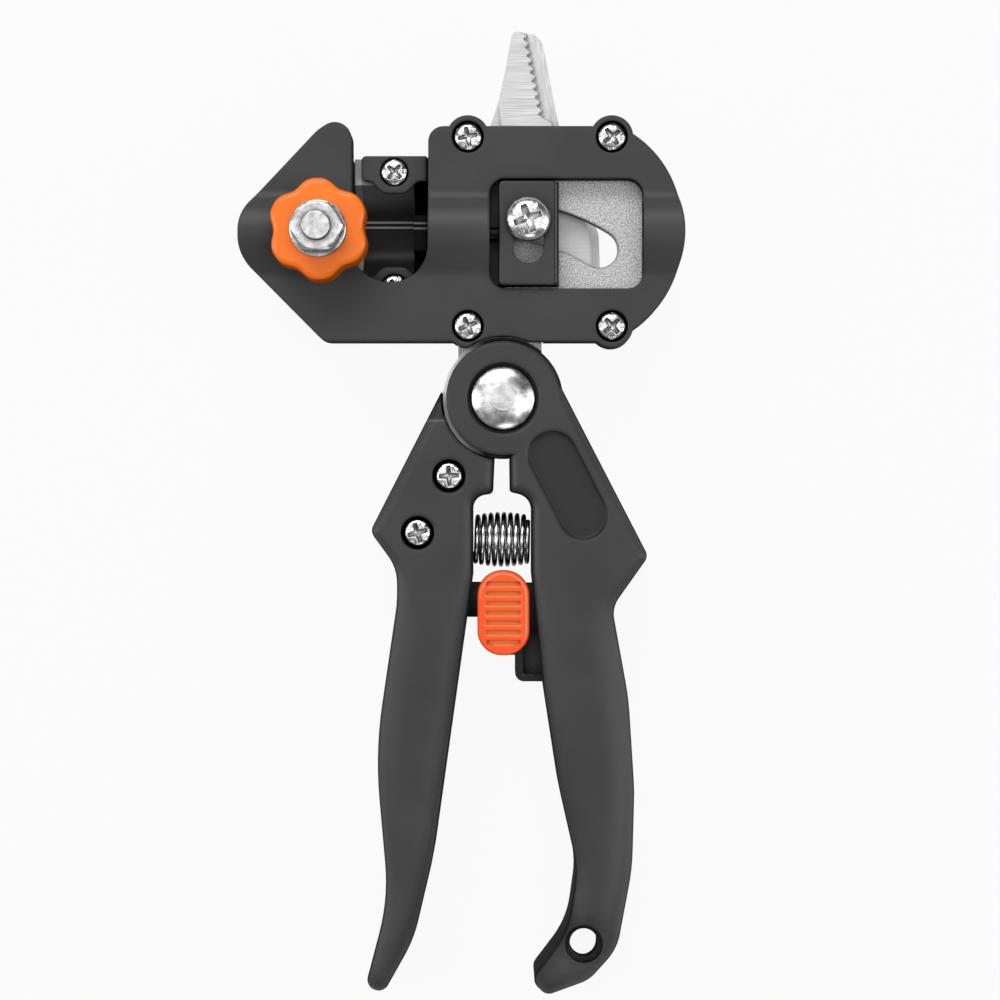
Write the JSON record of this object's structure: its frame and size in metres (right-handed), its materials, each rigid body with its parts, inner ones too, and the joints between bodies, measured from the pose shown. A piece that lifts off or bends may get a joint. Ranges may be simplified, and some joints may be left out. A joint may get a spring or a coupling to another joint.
{
  "type": "grafting pruner",
  "caption": "Hand pruner with a toothed jaw, a slide-driven grafting blade under a C-shaped cover, an anvil knob, a sliding lock and a barrel spring.",
  "frame": {"origin": "main pivot's axis at the plane that the tool lies on, its back", "axes": "+Z from the back to the front along the pivot, +Y from the handles to the jaws, +X to the window's side of the cover"},
  "size_m": [0.098, 0.2131, 0.0425],
  "materials": {
    "charcoal_plastic": "matt moulded charcoal",
    "cast_alloy": "cast, lightly grained",
    "ground_steel": "ground",
    "plain_steel": "satin",
    "bright_steel": "bright nickel plate",
    "white_plastic": "matt",
    "orange_plastic": "satin moulded orange",
    "red_orange_plastic": "satin moulded red-orange"
  },
  "bodies": {
    "right_half": {"right_handle": "charcoal_plastic", "main_frame": "cast_alloy", "serrated_jaw": "ground_steel", "jaw_rivets": "plain_steel", "front_casing": "charcoal_plastic", "rear_cover": "charcoal_plastic", "casing_screws": "bright_steel", "pivot_bolt": "bright_steel", "pivot_washer": "bright_steel", "pivot_nut": "bright_steel", "right_handle_screws": "bright_steel", "return_spring": "bright_steel"},
    "left_half": {"left_handle": "charcoal_plastic", "cutting_blade": "ground_steel", "left_handle_screws": "bright_steel", "drive_screw": "bright_steel", "drive_sleeve": "plain_steel"},
    "slide": {"slider_block": "charcoal_plastic", "slider_rod": "bright_steel", "blade_carrier": "charcoal_plastic", "grafting_blade": "ground_steel", "upper_clamp": "charcoal_plastic", "lower_clamp": "charcoal_plastic", "clamp_screws": "bright_steel"},
    "anvil_body": {"anvil": "white_plastic", "anvil_bolt": "bright_steel"},
    "knob_body": {"knob": "orange_plastic", "knob_washer": "bright_steel", "knob_nut": "bright_steel"},
    "lock": {"lock_button": "red_orange_plastic", "lock_pin": "bright_steel", "lock_washer": "bright_steel"}
  },
  "joints": [
    {"name": "handle_pivot", "type": "hinge", "parent": "right_half", "child": "left_half", "pos_m": [0, 0, 0.0115], "axis": [0, 0, -1], "range_deg": [0, 24], "deforming": ["return_spring"]},
    {"name": "blade_slide", "type": "slide", "parent": "right_half", "child": "slide", "axis": [1, 0, 0], "range_m": [0, 0.0155]},
    {"name": "anvil_adjust", "type": "slide", "parent": "right_half", "child": "anvil_body", "axis": [-1, 0, 0], "range_m": [0, 0.002]},
    {"name": "knob_spin", "type": "hinge", "parent": "anvil_body", "child": "knob_body", "pos_m": [-0.0398, 0.036, 0.0303], "axis": [0, 0, 1], "continuous": true},
    {"name": "lock_slide", "type": "slide", "parent": "right_half", "child": "lock", "axis": [0, -1, 0], "range_m": [0, 0.003]}
  ],
  "couplings": [
    {"joint": "blade_slide", "follows": "handle_pivot", "m_per_rad": 0.036843}
  ]
}
